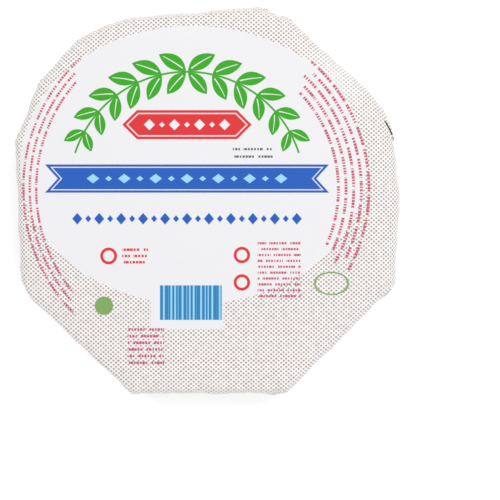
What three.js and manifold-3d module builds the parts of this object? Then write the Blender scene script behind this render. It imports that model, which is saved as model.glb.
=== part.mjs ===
// A whole wheel of soft white cheese, shut in its printed paper wrapper and lying flat.
// The round cheese fills out the paper, which is folded down over it in flat sides. At the corners the
// spare paper is laid over in pleats, narrow triangles that widen towards the table.
// Millimetres, +Z up, origin at the middle of the face it lies on, top of the print towards +Y.
import * as THREE from 'three';
import { mergeVertices } from 'three/addons/utils/BufferGeometryUtils.js';
import Module from 'manifold-3d';

// Driving dimensions of the cheese
const CHEESE_RADIUS = 97.5;
const WHEEL_HEIGHT = 32;

// The top of the wheel: flat in the middle, easing down to a round shoulder
const CROWN_WIDTH = 15;
const CROWN_DROP = 1.1;
const SHOULDER_DROP = 7.5;

// The wall and the round edge under it
const WALL_BULGE = 0.5;
const FOOT_WIDTH = 4.2;
const FOOT_RISE = 4.5;

// The flat sides of the paper, counter-clockwise from the right as the print is read. Each faces a
// bearing in degrees and stands off the cheese by its slack. Its shoulder has a width, and a bevel from
// 0, round, to 1, a flat slope. It ends in a corner of the given radius, where the spare paper is laid
// back in a number of folds that stand out from the wall by their lift.
const PAPER_SIDES = [
  { faces: -3.0, slack: 1.4, shoulder: 6.4, bevel: 0.2, corner: 58, folds: 0, lift: 0 },
  { faces: 8.3, slack: 1.7, shoulder: 7.2, bevel: 0.3, corner: 37, folds: 2, lift: 1.6 },
  { faces: 47.7, slack: 0.8, shoulder: 5.0, bevel: 0.2, corner: 4, folds: 1, lift: 1.0 },
  { faces: 70.8, slack: 6.7, shoulder: 3.8, bevel: 0.6, corner: 13, folds: 1, lift: 1.0 },
  { faces: 94.9, slack: 1.4, shoulder: 3.2, bevel: 0.8, corner: 55, folds: 2, lift: 0.8 },
  { faces: 120.5, slack: 9.3, shoulder: 3.8, bevel: 0.4, corner: 13, folds: 1, lift: 0.8 },
  { faces: 139.6, slack: 9.8, shoulder: 4.6, bevel: 0.2, corner: 9, folds: 1, lift: 0.8 },
  { faces: 158.2, slack: 7.7, shoulder: 4.6, bevel: 0.2, corner: 11, folds: 1, lift: 0.8 },
  { faces: 182.5, slack: 1.8, shoulder: 4.2, bevel: 0.2, corner: 20, folds: 1, lift: 1.0 },
  { faces: 226.4, slack: 2.4, shoulder: 2.0, bevel: 0.2, corner: 7, folds: 1, lift: 0.9 },
  { faces: 270, slack: 2.2, shoulder: 3.4, bevel: 0.2, corner: 6, folds: 1, lift: 0.9 },
  { faces: 315, slack: 1.3, shoulder: 3.0, bevel: 0.2, corner: 7, folds: 1, lift: 0.9 },
];

// How the faces are divided
const SIDE_STEPS = 5;
const CORNER_STEPS = 6;
const SHOULDER_STEPS = 6;
const WALL_STEPS = 6;
const FOOT_STEPS = 4;

// A pleat runs down the wall, and its root is sunk into the paper behind it
const PLEAT_TOP = WHEEL_HEIGHT - SHOULDER_DROP - CROWN_DROP;
const PLEAT_BOTTOM = FOOT_RISE;
const PLEAT_ROOT = 2.5;

const PAPER = new THREE.MeshStandardMaterial({ color: '#f0eff2', roughness: 0.48, metalness: 0 });

const wasm = await Module();
wasm.setup();

// The line that each side follows, seen from above: its outward normal and its direction
const sides = PAPER_SIDES.map((side) => {
  const bearing = THREE.MathUtils.degToRad(side.faces);
  const normal = new THREE.Vector2(Math.cos(bearing), Math.sin(bearing));
  return {
    ...side,
    bearing,
    reach: CHEESE_RADIUS + side.slack,
    normal,
    along: new THREE.Vector2(-normal.y, normal.x),
  };
});

// The corner where a side meets the next one: the crossing of their lines, and its rounding arc
const corners = sides.map((side, index) => {
  const next = sides[(index + 1) % sides.length];
  const turn = THREE.MathUtils.euclideanModulo(next.bearing - side.bearing, 2 * Math.PI);
  const run = (next.reach - side.reach * Math.cos(turn)) / Math.sin(turn);
  const point = side.normal.clone().multiplyScalar(side.reach).addScaledVector(side.along, run);
  const tangent = side.corner * Math.tan(turn / 2);
  const arcStart = point.clone().addScaledVector(side.along, -tangent);
  const centre = arcStart.clone().addScaledVector(side.normal, -side.corner);
  return { point, turn, tangent, arcStart, centre, radius: side.corner, from: side.bearing };
});

// The paper's outline from above, as a closed ring of points with the shoulder's width and bevel at
// each one: every side, then the arc that ends it
function outlinePoints() {
  const ring = [];
  sides.forEach((side, index) => {
    const before = corners.at(index - 1);
    const after = corners[index];
    const next = sides[(index + 1) % sides.length];
    const start = before.point.clone().addScaledVector(side.along, before.tangent);
    for (let step = 0; step < SIDE_STEPS; step += 1) {
      const rim = start.clone().lerp(after.arcStart, step / SIDE_STEPS);
      ring.push({ rim, shoulder: side.shoulder, bevel: side.bevel });
    }
    for (let step = 0; step < CORNER_STEPS; step += 1) {
      const share = step / CORNER_STEPS;
      const angle = after.from + after.turn * share;
      const spoke = new THREE.Vector2(Math.cos(angle), Math.sin(angle));
      const rim = after.centre.clone().addScaledVector(spoke, after.radius);
      const shoulder = THREE.MathUtils.lerp(side.shoulder, next.shoulder, share);
      const bevel = THREE.MathUtils.lerp(side.bevel, next.bevel, share);
      ring.push({ rim, shoulder, bevel });
    }
  });
  return ring;
}

// The wheel's section from the middle of the base, round the wall, to the middle of the top, where the
// shoulder has the given width and bevel. A level is the share of its ring's width, inset from the
// outline, and its height.
function sectionLevels(shoulder, bevel) {
  const levels = [];
  const footInset = WALL_BULGE + FOOT_WIDTH;
  for (const share of [0, 0.5]) {
    levels.push({ share, inset: footInset, height: 0 });
  }
  for (let step = 0; step <= FOOT_STEPS; step += 1) {
    const angle = (Math.PI / 2) * (step / FOOT_STEPS);
    const inset = WALL_BULGE + FOOT_WIDTH * (1 - Math.sin(angle));
    levels.push({ share: 1, inset, height: FOOT_RISE * (1 - Math.cos(angle)) });
  }
  const wallTop = WHEEL_HEIGHT - CROWN_DROP - SHOULDER_DROP;
  for (let step = 1; step < WALL_STEPS; step += 1) {
    const share = step / WALL_STEPS;
    const inset = WALL_BULGE * (2 * share - 1) ** 2;
    levels.push({ share: 1, inset, height: THREE.MathUtils.lerp(FOOT_RISE, wallTop, share) });
  }
  for (let step = 0; step <= SHOULDER_STEPS; step += 1) {
    const share = step / SHOULDER_STEPS;
    const angle = (Math.PI / 2) * share;
    const inset = WALL_BULGE + shoulder * THREE.MathUtils.lerp(1 - Math.cos(angle), share, bevel);
    const rise = SHOULDER_DROP * THREE.MathUtils.lerp(Math.sin(angle), share, bevel);
    levels.push({ share: 1, inset, height: wallTop + rise });
  }
  for (const share of [0.5, 1]) {
    const inset = THREE.MathUtils.lerp(WALL_BULGE + shoulder, CROWN_WIDTH, share);
    levels.push({ share: 1, inset, height: WHEEL_HEIGHT - CROWN_DROP * (1 - share) ** 2 });
  }
  for (const share of [0.6, 0]) {
    levels.push({ share, inset: CROWN_WIDTH, height: WHEEL_HEIGHT });
  }
  return levels;
}

// The filled-out paper: a turned section whose every column is drawn out to the paper's outline
function bodyGeometry() {
  const outline = outlinePoints();
  const section = sectionLevels(PAPER_SIDES[0].shoulder, PAPER_SIDES[0].bevel).map(
    ({ share, inset, height }) => new THREE.Vector2(share * (CHEESE_RADIUS - inset), height),
  );
  const geometry = new THREE.LatheGeometry(section, outline.length);
  const places = geometry.getAttribute('position');
  for (let column = 0; column <= outline.length; column += 1) {
    const { rim, shoulder, bevel } = outline[column % outline.length];
    sectionLevels(shoulder, bevel).forEach(({ share, inset, height }, row) => {
      const flat = rim.clone().setLength(share * (rim.length() - inset));
      places.setXYZ(column * section.length + row, flat.x, flat.y, height);
    });
  }
  return geometry;
}

// One pleat on the wall, a share of the way round a corner: a triangle with its point up, as wide at
// the table as its part of the spare paper there, folded double. It leaves the wall at its root and
// stands out along its folded edge.
function pleatGeometry(side, corner, share) {
  const spare = ((PLEAT_TOP - PLEAT_BOTTOM) * Math.tan(corner.turn / 2)) / side.folds;
  const triangle = new THREE.Shape([
    new THREE.Vector2(0, PLEAT_TOP),
    new THREE.Vector2(-spare, PLEAT_BOTTOM),
    new THREE.Vector2(0, PLEAT_BOTTOM),
  ]);
  const depth = PLEAT_ROOT - WALL_BULGE / 2;
  const geometry = new THREE.ExtrudeGeometry(triangle, { depth, bevelEnabled: false });
  const places = geometry.getAttribute('position');
  for (let index = 0; index < places.count; index += 1) {
    if (places.getZ(index) > 0) {
      places.setZ(index, depth + side.lift * (-places.getX(index) / spare));
    }
  }
  const bearing = corner.from + corner.turn * share;
  const normal = new THREE.Vector3(Math.cos(bearing), Math.sin(bearing), 0);
  const along = new THREE.Vector3(-normal.y, normal.x, 0);
  const frame = new THREE.Matrix4().makeBasis(along, new THREE.Vector3(0, 0, 1), normal);
  const reach = corner.radius - PLEAT_ROOT;
  frame.setPosition(corner.centre.x + normal.x * reach, corner.centre.y + normal.y * reach, 0);
  return geometry.applyMatrix4(frame);
}

// A closed geometry as a solid that can be joined to another
function solidOf(geometry) {
  const bare = new THREE.BufferGeometry();
  bare.setAttribute('position', geometry.getAttribute('position'));
  bare.setIndex(geometry.index);
  const merged = mergeVertices(bare);
  return new wasm.Manifold(
    new wasm.Mesh({
      numProp: 3,
      vertProperties: merged.getAttribute('position').array,
      triVerts: new Uint32Array(merged.index.array),
    }),
  );
}

// A solid as a geometry again
function geometryOf(solid) {
  const mesh = solid.getMesh();
  const geometry = new THREE.BufferGeometry();
  geometry.setAttribute('position', new THREE.BufferAttribute(mesh.vertProperties, mesh.numProp));
  geometry.setIndex(new THREE.BufferAttribute(mesh.triVerts, 1));
  geometry.computeVertexNormals();
  return geometry;
}

// The wrapped wheel: the filled-out paper with the pleats spread over its corners
function wrappedWheel() {
  let wheel = solidOf(bodyGeometry());
  sides.forEach((side, index) => {
    for (let fold = 0; fold < side.folds; fold += 1) {
      wheel = wheel.add(solidOf(pleatGeometry(side, corners[index], fold / side.folds)));
    }
  });
  const geometry = geometryOf(wheel);
  geometry.computeBoundingBox();
  const middle = geometry.boundingBox.getCenter(new THREE.Vector3());
  geometry.translate(-middle.x, -middle.y, 0);
  const mesh = new THREE.Mesh(geometry, PAPER);
  mesh.name = 'wrapped_wheel';
  return mesh;
}

const part = new THREE.Group();
part.add(wrappedWheel());

export default part;
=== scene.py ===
"""A whole wheel of soft white cheese, shut in its printed paper wrapper and lying flat.

The round cheese fills out a square sheet of coated paper. The sheet is folded down over it in flat
sides, its spare paper lies in pleats at the corners, and its four points meet under the wheel. The
print is laid out on the flat sheet, so it runs over the shoulders and down the walls with the paper.

Lengths are millimetres from the middle of the cheese until a mesh is made.
"""

import logging
import math
from abc import ABC, abstractmethod
from dataclasses import dataclass, field, replace
from enum import Enum

import bpy
import numpy as np
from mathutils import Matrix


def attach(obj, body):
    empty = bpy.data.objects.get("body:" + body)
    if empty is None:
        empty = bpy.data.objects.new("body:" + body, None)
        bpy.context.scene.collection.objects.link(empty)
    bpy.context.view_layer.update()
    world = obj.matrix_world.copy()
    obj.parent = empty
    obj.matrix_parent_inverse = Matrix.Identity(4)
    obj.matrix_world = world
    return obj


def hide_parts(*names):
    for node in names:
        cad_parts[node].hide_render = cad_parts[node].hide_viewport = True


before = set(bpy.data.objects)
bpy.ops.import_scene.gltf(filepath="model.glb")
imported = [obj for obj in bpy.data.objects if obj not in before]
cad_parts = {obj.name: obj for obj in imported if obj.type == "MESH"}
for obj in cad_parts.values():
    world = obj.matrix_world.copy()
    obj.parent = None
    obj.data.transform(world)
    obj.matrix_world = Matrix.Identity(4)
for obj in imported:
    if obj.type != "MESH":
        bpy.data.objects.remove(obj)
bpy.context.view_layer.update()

LOG = logging.getLogger("wheel")

METRES = 0.001
NODE = "wrapped_wheel"
BODY = "root"
SHEET_MAP = "sheet"
BAKE_MAP = "OFBake"
SHARP_FOLD = math.radians(48.0)

Pair = tuple[float, float]

# The middle of the wrapper's outline, from the middle of the cheese
OUTLINE_MIDDLE = (-0.768, 0.455)


class Panel(Enum):
    """The parts of the square sheet that are folded down, named from the reader's side.

    A turn is a narrow part that is drawn in between two others.
    """

    RIGHT = "right"
    UPPER_RIGHT = "upper right"
    UPPER_RIGHT_TURN = "turn at the upper right"
    UPPER = "upper"
    UPPER_LEFT_TURN = "turn at the upper left"
    UPPER_LEFT = "upper left"
    LEFT_TURN = "turn at the left"
    LEFT = "left"
    LOWER_LEFT = "lower left"
    LOWER = "lower"
    LOWER_RIGHT = "lower right"


@dataclass(frozen=True)
class FlatSide:
    """One flat side of the folded paper.

    Attributes:
        panel: the part of the sheet that makes this side.
        faces: the bearing that the side faces, in degrees.
        slack: how far it stands off the cheese.
        shoulder: the width of its shoulder, seen from above.
        bevel: 0 for a round shoulder, 1 for a flat slope.
        corner: the radius of the corner that ends it.
        folds: how many pleats the spare paper makes there.
        lift: how far the pleats stand out from the wall.
    """

    panel: Panel
    faces: float
    slack: float
    shoulder: float
    bevel: float
    corner: float
    folds: int
    lift: float


SIDES = (
    FlatSide(Panel.RIGHT, -3.0, 1.4, 6.4, 0.2, 58.0, 0, 0.0),
    FlatSide(Panel.RIGHT, 8.3, 1.7, 7.2, 0.3, 37.0, 2, 1.6),
    FlatSide(Panel.UPPER_RIGHT, 47.7, 0.8, 5.0, 0.2, 4.0, 1, 1.0),
    FlatSide(Panel.UPPER_RIGHT_TURN, 70.8, 6.7, 3.8, 0.6, 13.0, 1, 1.0),
    FlatSide(Panel.UPPER, 94.9, 1.4, 3.2, 0.8, 55.0, 2, 0.8),
    FlatSide(Panel.UPPER_LEFT_TURN, 120.5, 9.3, 3.8, 0.4, 13.0, 1, 0.8),
    FlatSide(Panel.UPPER_LEFT, 139.6, 9.8, 4.6, 0.2, 9.0, 1, 0.8),
    FlatSide(Panel.LEFT_TURN, 158.2, 7.7, 4.6, 0.2, 11.0, 1, 0.8),
    FlatSide(Panel.LEFT, 182.5, 1.8, 4.2, 0.2, 20.0, 1, 1.0),
    FlatSide(Panel.LOWER_LEFT, 226.4, 2.4, 2.0, 0.2, 7.0, 1, 0.9),
    FlatSide(Panel.LOWER, 270.0, 2.2, 3.4, 0.2, 6.0, 1, 0.9),
    FlatSide(Panel.LOWER_RIGHT, 315.0, 1.3, 3.0, 0.2, 7.0, 1, 0.9),
)


@dataclass(frozen=True)
class Pocket:
    """The mouth of the one pleat that stands open, slanting down the shoulder.

    Attributes:
        side: the side whose corner has the pleat.
        fold: the pleat's number at that corner.
        share: where the mouth starts, as a share of the way round the corner.
        start: how far down from the edge of the top it starts.
        flare: how far it runs along the side for each step down.
        reach: how far along the side it ends.
        hollow: how far the paper behind it is pushed in.
        lip: the distances past the mouth's line over which the hollow deepens.
        near_end: the distances along the side over which it starts.
        far_end: the distances past its reach over which it ends.
        low_end: the depths over which it ends below.
    """

    side: int
    fold: int
    share: float
    start: float
    flare: float
    reach: float
    hollow: float
    lip: Pair = (-0.9, 0.5)
    near_end: Pair = (-0.5, 2.0)
    far_end: Pair = (3.0, -2.0)
    low_end: Pair = (24.0, 16.0)


# The sides whose paper ends in one of the sheet's four points
FLAP_PANELS = (Panel.UPPER_RIGHT, Panel.UPPER_LEFT, Panel.LOWER_LEFT, Panel.LOWER_RIGHT)

POCKET = Pocket(side=1, fold=1, share=0.34, start=4.2, flare=1.7, reach=8.6, hollow=2.2)


def smooth(low: float, high: float, value: np.ndarray) -> np.ndarray:
    """Ease from 0 at low to 1 at high.

    Args:
        low: the value that gives 0.
        high: the value that gives 1, above or below low.
        value: the values to ease.

    Returns:
        The eased shares.
    """
    share = np.clip((value - low) / (high - low), 0.0, 1.0)
    return share * share * (3.0 - 2.0 * share)


def bearing_vector(degrees: float) -> np.ndarray:
    """Give the unit vector that points along a bearing in degrees."""
    angle = math.radians(degrees)
    return np.array((math.cos(angle), math.sin(angle)))


def quarter_turn(vector: np.ndarray) -> np.ndarray:
    """Turn a plan vector counter-clockwise by a right angle."""
    return np.array((-vector[1], vector[0]))


@dataclass(frozen=True)
class Corner:
    """The rounded corner where a side ends.

    Attributes:
        turn: the angle between this side and the next, in radians.
        start: where the rounding starts.
        centre: the middle of the rounding arc.
        radius: the arc's radius.
        bearing: the bearing of the arc's start, in radians.
    """

    turn: float
    start: np.ndarray
    centre: np.ndarray
    radius: float
    bearing: float

    def at(self, share: np.ndarray) -> np.ndarray:
        """Give points on the arc, from share 0 at its start to 1 at its end.

        Args:
            share: the shares of the way round the arc.

        Returns:
            The points.
        """
        angle = self.bearing + self.turn * share
        spokes = np.stack((np.cos(angle), np.sin(angle)), axis=-1)
        return self.centre + self.radius * spokes


@dataclass(frozen=True)
class Ring:
    """The outline as a closed ring of columns.

    Attributes:
        rim: the outline's points.
        along: each point's distance round the outline.
        length: the whole distance round.
        shoulder: the shoulder's width at each point.
        bevel: the shoulder's bevel at each point.
        per_side: how many columns belong to each side.
    """

    rim: np.ndarray
    along: np.ndarray
    length: float
    shoulder: np.ndarray
    bevel: np.ndarray
    per_side: int


@dataclass(frozen=True)
class Section:
    """The wheel's section at each column, from the middle of the base to the middle of the top.

    Attributes:
        share: each row's share of its ring's width.
        inset: each row's inset from the outline, by column.
        height: each row's height, by column.
        foot: the first row of the round foot.
        wall: the first row of the wall.
        shoulder: the first row of the shoulder.
        crown: the first row above the shoulder.
    """

    share: np.ndarray
    inset: np.ndarray
    height: np.ndarray
    foot: int
    wall: int
    shoulder: int
    crown: int


@dataclass(frozen=True)
class Creasing:
    """How the paper stands off its smooth form.

    Attributes:
        seed: the seed of the random draws.
        ripples: the lengths of the ripples on the top.
        ripple_slope: a ripple's depth, as a share of its length.
        buckles: for each layer of buckles, how many go round the wall and how deep they are.
        lean: the most that a buckle leans, in radians for each step up.
        crease_place: where a crease may run, as a share of the way round its corner.
        crease_depth: the least and the most that a crease stands out.
        ridge: the width of a crease's ridge.
        dip: the place, the width and the strength of the dip beside the ridge.
        crease_start: the distances from the middle over which creases start.
        top_rise: the heights over which ripples start.
        buckle_rise: the heights over which buckles start.
        buckle_inset: the insets over which they start, from the middle outward.
        crease_rise: the heights over which creases start.
        crease_inset: the insets over which they start, from the middle outward.
    """

    seed: int = 7
    ripples: tuple[float, ...] = (62.0, 47.0, 38.0, 29.0, 23.0)
    ripple_slope: float = 0.0011
    buckles: tuple[tuple[int, float], ...] = ((17, 0.2), (29, 0.15), (47, 0.11), (83, 0.06))
    lean: float = 0.05
    crease_place: Pair = (0.3, 0.7)
    crease_depth: Pair = (0.25, 0.45)
    ridge: float = 1.1
    dip: tuple[float, float, float] = (3.2, 2.2, 0.7)
    crease_start: Pair = (40.0, 80.0)
    top_rise: Pair = (24.0, 31.0)
    buckle_rise: Pair = (1.5, 8.0)
    buckle_inset: Pair = (13.0, 2.5)
    crease_rise: Pair = (2.0, 9.0)
    crease_inset: Pair = (17.0, 3.0)


@dataclass(frozen=True)
class PaperForm:
    """The shape of the filled-out paper, which all its pieces share.

    Attributes:
        cheese_radius: the cheese's radius.
        height: the height of the top.
        crown_width: how far inside the outline the top starts to fall.
        crown_drop: how far it falls before the shoulder.
        shoulder_drop: the shoulder's height.
        wall_bulge: how far the wall bulges half-way up.
        foot_width: the width of the round foot.
        foot_rise: the height at which the foot meets the wall.
        rest: the height of the underside, above the flaps.
        sides: the flat sides, counter-clockwise.
        side_steps: how many columns a flat side has.
        corner_steps: how many columns a corner has.
        base_shares: the rows of the underside, as shares of the way out.
        foot_steps: how many rows the foot has.
        wall_steps: how many rows the wall has.
        shoulder_steps: how many rows the shoulder has.
        crown_steps: how many rows the falling edge of the top has.
        top_steps: how many rows the flat of the top has.
        creasing: how the paper stands off its smooth form.
    """

    cheese_radius: float = 97.5
    height: float = 32.0
    crown_width: float = 15.0
    crown_drop: float = 1.1
    shoulder_drop: float = 7.5
    wall_bulge: float = 0.5
    foot_width: float = 4.2
    foot_rise: float = 4.5
    rest: float = 0.9
    sides: tuple[FlatSide, ...] = SIDES
    side_steps: int = 32
    corner_steps: int = 36
    base_shares: tuple[float, ...] = (0.0, 0.3, 0.6, 0.85)
    foot_steps: int = 10
    wall_steps: int = 29
    shoulder_steps: int = 20
    crown_steps: int = 12
    top_steps: int = 40
    creasing: Creasing = Creasing()

    def normal(self, index: int) -> np.ndarray:
        """Give the outward vector of a side."""
        return bearing_vector(self.sides[index % len(self.sides)].faces)

    def panel_vector(self, panel: Panel) -> np.ndarray:
        """Give the vector along which a panel of the sheet is folded down."""
        bearings = [side.faces for side in self.sides if side.panel is panel]
        return bearing_vector(sum(bearings) / len(bearings))

    def corner(self, index: int) -> Corner:
        """Find the corner that ends a side.

        Args:
            index: the side's number.

        Returns:
            The corner, from the crossing of this side's line with the next one's.
        """
        side = self.sides[index % len(self.sides)]
        after = self.sides[(index + 1) % len(self.sides)]
        turn = math.radians((after.faces - side.faces) % 360.0)
        reach = self.cheese_radius + side.slack
        next_reach = self.cheese_radius + after.slack
        run = (next_reach - reach * math.cos(turn)) / math.sin(turn)
        outward = self.normal(index)
        onward = quarter_turn(outward)
        tangent = side.corner * math.tan(turn / 2.0)
        start = outward * reach + onward * (run - tangent)
        centre = start - outward * side.corner
        return Corner(turn, start, centre, side.corner, math.radians(side.faces))

    def ring(self) -> Ring:
        """Lay out the outline: before each side comes the arc that leads into it.

        Returns:
            The ring.
        """
        rim = []
        shoulder = []
        bevel = []
        bend = np.arange(self.corner_steps) / self.corner_steps
        run = np.arange(self.side_steps) / self.side_steps
        for index, side in enumerate(self.sides):
            before = self.sides[index - 1]
            arc = self.corner(index - 1)
            start = arc.at(np.array(1.0))
            stop = self.corner(index).start
            rim.append(arc.at(bend))
            rim.append(start + (stop - start) * run[:, None])
            shoulder.append(before.shoulder + (side.shoulder - before.shoulder) * bend)
            shoulder.append(np.full(self.side_steps, side.shoulder))
            bevel.append(before.bevel + (side.bevel - before.bevel) * bend)
            bevel.append(np.full(self.side_steps, side.bevel))
        points = np.concatenate(rim)
        steps = np.linalg.norm(np.roll(points, -1, axis=0) - points, axis=1)
        along = np.concatenate(((0.0,), np.cumsum(steps)[:-1]))
        per_side = self.side_steps + self.corner_steps
        widths = np.concatenate(shoulder)
        return Ring(points, along, float(steps.sum()), widths, np.concatenate(bevel), per_side)

    def section(self, shoulder: np.ndarray, bevel: np.ndarray) -> Section:
        """Work out the section for columns with these shoulders.

        Args:
            shoulder: the shoulder's width at each column.
            bevel: its bevel at each column.

        Returns:
            The rows of the section.
        """
        share = []
        inset = []
        height = []
        one = np.ones_like(shoulder)

        def row(part: float, inward: np.ndarray | float, up: np.ndarray | float) -> None:
            """Add one row to the section.

            Args:
                part: its share of the ring's width.
                inward: its inset from the outline.
                up: its height.
            """
            share.append(part)
            inset.append(inward * one)
            height.append(up * one)

        for part in self.base_shares:
            row(part, self.wall_bulge + self.foot_width, self.rest)
        foot = len(share)
        for step in range(self.foot_steps):
            angle = math.pi / 2.0 * step / self.foot_steps
            rise = (self.foot_rise - self.rest) * (1.0 - math.cos(angle))
            row(1.0, self.wall_bulge + self.foot_width * (1.0 - math.sin(angle)), self.rest + rise)
        wall = len(share)
        wall_top = self.height - self.crown_drop - self.shoulder_drop
        for step in range(self.wall_steps):
            part = step / self.wall_steps
            up = self.foot_rise + (wall_top - self.foot_rise) * part
            row(1.0, self.wall_bulge * (2.0 * part - 1.0) ** 2, up)
        shoulder_row = len(share)
        for step in range(self.shoulder_steps + 1):
            part = step / self.shoulder_steps
            angle = math.pi / 2.0 * part
            inward = (1.0 - math.cos(angle)) * (1.0 - bevel) + part * bevel
            rise = math.sin(angle) * (1.0 - bevel) + part * bevel
            row(1.0, self.wall_bulge + shoulder * inward, wall_top + self.shoulder_drop * rise)
        crown = len(share)
        for step in range(1, self.crown_steps + 1):
            part = step / self.crown_steps
            inward = (self.wall_bulge + shoulder) * (1.0 - part) + self.crown_width * part
            row(1.0, inward, self.height - self.crown_drop * (1.0 - part) ** 2)
        for step in range(self.top_steps - 1, -1, -1):
            row(step / self.top_steps, self.crown_width, self.height)
        insets = np.stack(inset, axis=1)
        heights = np.stack(height, axis=1)
        return Section(np.array(share), insets, heights, foot, wall, shoulder_row, crown)

    def relief(
        self, plan: np.ndarray, along: np.ndarray, inset: np.ndarray, height: np.ndarray
    ) -> np.ndarray:
        """Work out how far the paper stands off its smooth form: ripples, buckles and creases.

        Args:
            plan: points seen from above.
            along: each point's share of the way round the outline.
            inset: each point's inset from the outline.
            height: each point's height.

        Returns:
            The distance outward at each point.
        """
        look = self.creasing
        circle = 2.0 * math.pi
        draw = np.random.default_rng(look.seed)
        ripple = np.zeros_like(height)
        for wave in look.ripples:
            way = bearing_vector(draw.uniform(0.0, 360.0)) * (circle / wave)
            phase = draw.uniform(0.0, circle)
            ripple += look.ripple_slope * wave * np.sin(plan @ way + phase)
        buckle = np.zeros_like(height)
        for turns, depth in look.buckles:
            phase = draw.uniform(0.0, circle)
            lean = draw.uniform(-look.lean, look.lean)
            buckle += depth * np.sin(circle * turns * along + phase + lean * height)
        crease = np.zeros_like(height)
        dip_place, dip_width, dip_strength = look.dip
        for index, side in enumerate(self.sides):
            if side.folds > 0:
                ray = self.corner(index).at(np.array(draw.uniform(*look.crease_place)))
                ray = ray / np.linalg.norm(ray)
                ahead = smooth(*look.crease_start, plan @ ray)
                across = plan @ quarter_turn(ray)
                dip = dip_strength * np.exp(-(((across - dip_place) / dip_width) ** 2))
                ridge = np.exp(-np.abs(across) / look.ridge) - dip
                crease += draw.uniform(*look.crease_depth) * ahead * ridge
        ripple *= smooth(*look.top_rise, height)
        buckle *= smooth(*look.buckle_rise, height) * smooth(*look.buckle_inset, inset)
        crease *= smooth(*look.crease_rise, height) * smooth(*look.crease_inset, inset)
        return ripple + buckle + crease


@dataclass(frozen=True)
class Surface:
    """The paper's outer face as a grid of columns and rows.

    Attributes:
        ring: the outline's columns.
        section: the rows.
        points: each point's place.
        normals: each row's outward vector in its own section: outward and up.
    """

    ring: Ring
    section: Section
    points: np.ndarray
    normals: np.ndarray


def step_lengths(points: np.ndarray) -> np.ndarray:
    """Give the length of each step up a column of points."""
    return np.linalg.norm(np.diff(points, axis=-2), axis=-1)


def run_down(steps: np.ndarray) -> np.ndarray:
    """Add up the steps of each column from the middle of the top.

    Args:
        steps: the length of each step, from the base upward.

    Returns:
        Each point's distance along the paper from the middle of the top.
    """
    run = np.cumsum(steps[..., ::-1], axis=-1)[..., ::-1]
    return np.concatenate((run, np.zeros_like(steps[..., :1])), axis=-1)


def move_out(points: np.ndarray, normals: np.ndarray, off: np.ndarray) -> np.ndarray:
    """Move points of the paper outward.

    Args:
        points: the points.
        normals: each one's outward vector in its section: outward and up.
        off: how far each one moves.

    Returns:
        The moved points.
    """
    plan = points[..., :2]
    width = np.maximum(np.linalg.norm(plan, axis=-1, keepdims=True), 1.0)
    flat = plan + plan / width * (normals[..., :1] * off[..., None])
    height = points[..., 2:] + normals[..., 1:] * off[..., None]
    return np.concatenate((flat, height), axis=-1)


def lay_surface(form: PaperForm) -> Surface:
    """Work out the paper's outer face.

    Args:
        form: the paper's shape.

    Returns:
        The face as a grid.
    """
    ring = form.ring()
    section = form.section(ring.shoulder, ring.bevel)
    width = np.linalg.norm(ring.rim, axis=1)[:, None]
    reach = section.share[None, :] * (width - section.inset)
    step_out = np.gradient(reach, axis=1)
    step_up = np.gradient(section.height, axis=1)
    normals = np.stack((step_up, -step_out), axis=-1)
    normals /= np.linalg.norm(normals, axis=-1, keepdims=True)
    plan = (ring.rim / width)[:, None, :] * reach[:, :, None]
    along = np.broadcast_to((ring.along / ring.length)[:, None], reach.shape)
    off = form.relief(plan, along, width - reach, section.height)
    points = np.concatenate((plan, section.height[..., None]), axis=-1)
    return Surface(ring, section, move_out(points, normals, off), normals)


def push_in(surface: Surface, form: PaperForm, pocket: Pocket) -> Surface:
    """Push the paper in behind an open pleat.

    Args:
        surface: the paper's outer face.
        form: the paper's shape.
        pocket: the pleat's mouth.

    Returns:
        The face with the hollow.
    """
    ring = surface.ring
    column = (pocket.side + 1) * ring.per_side + round(form.corner_steps * pocket.share)
    back = (ring.along[column] - ring.along)[:, None]
    run = run_down(step_lengths(surface.points))
    edge = surface.section.crown - 1
    depth = run - run[:, edge : edge + 1]
    below = depth - pocket.start - back / pocket.flare
    ends = smooth(*pocket.near_end, back) * smooth(*pocket.far_end, back - pocket.reach)
    hollow = pocket.hollow * ends * smooth(*pocket.lip, below) * smooth(*pocket.low_end, depth)
    return replace(surface, points=move_out(surface.points, surface.normals, -hollow))


def sheet_places(form: PaperForm, points: np.ndarray, panel: Panel) -> np.ndarray:
    """Unroll columns of the paper onto the flat sheet.

    Args:
        form: the paper's shape.
        points: columns of points, each from the middle of the base to the middle of the top.
        panel: the part of the sheet that the columns belong to.

    Returns:
        Each point's place on the flat sheet.
    """
    outward = form.panel_vector(panel)
    onward = quarter_turn(outward)
    reach = points[..., :2] @ outward
    run = run_down(np.hypot(np.diff(reach, axis=1), np.diff(points[..., 2], axis=1)))
    side = points[..., :2] @ onward
    return side[..., None] * onward + run[..., None] * outward


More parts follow.
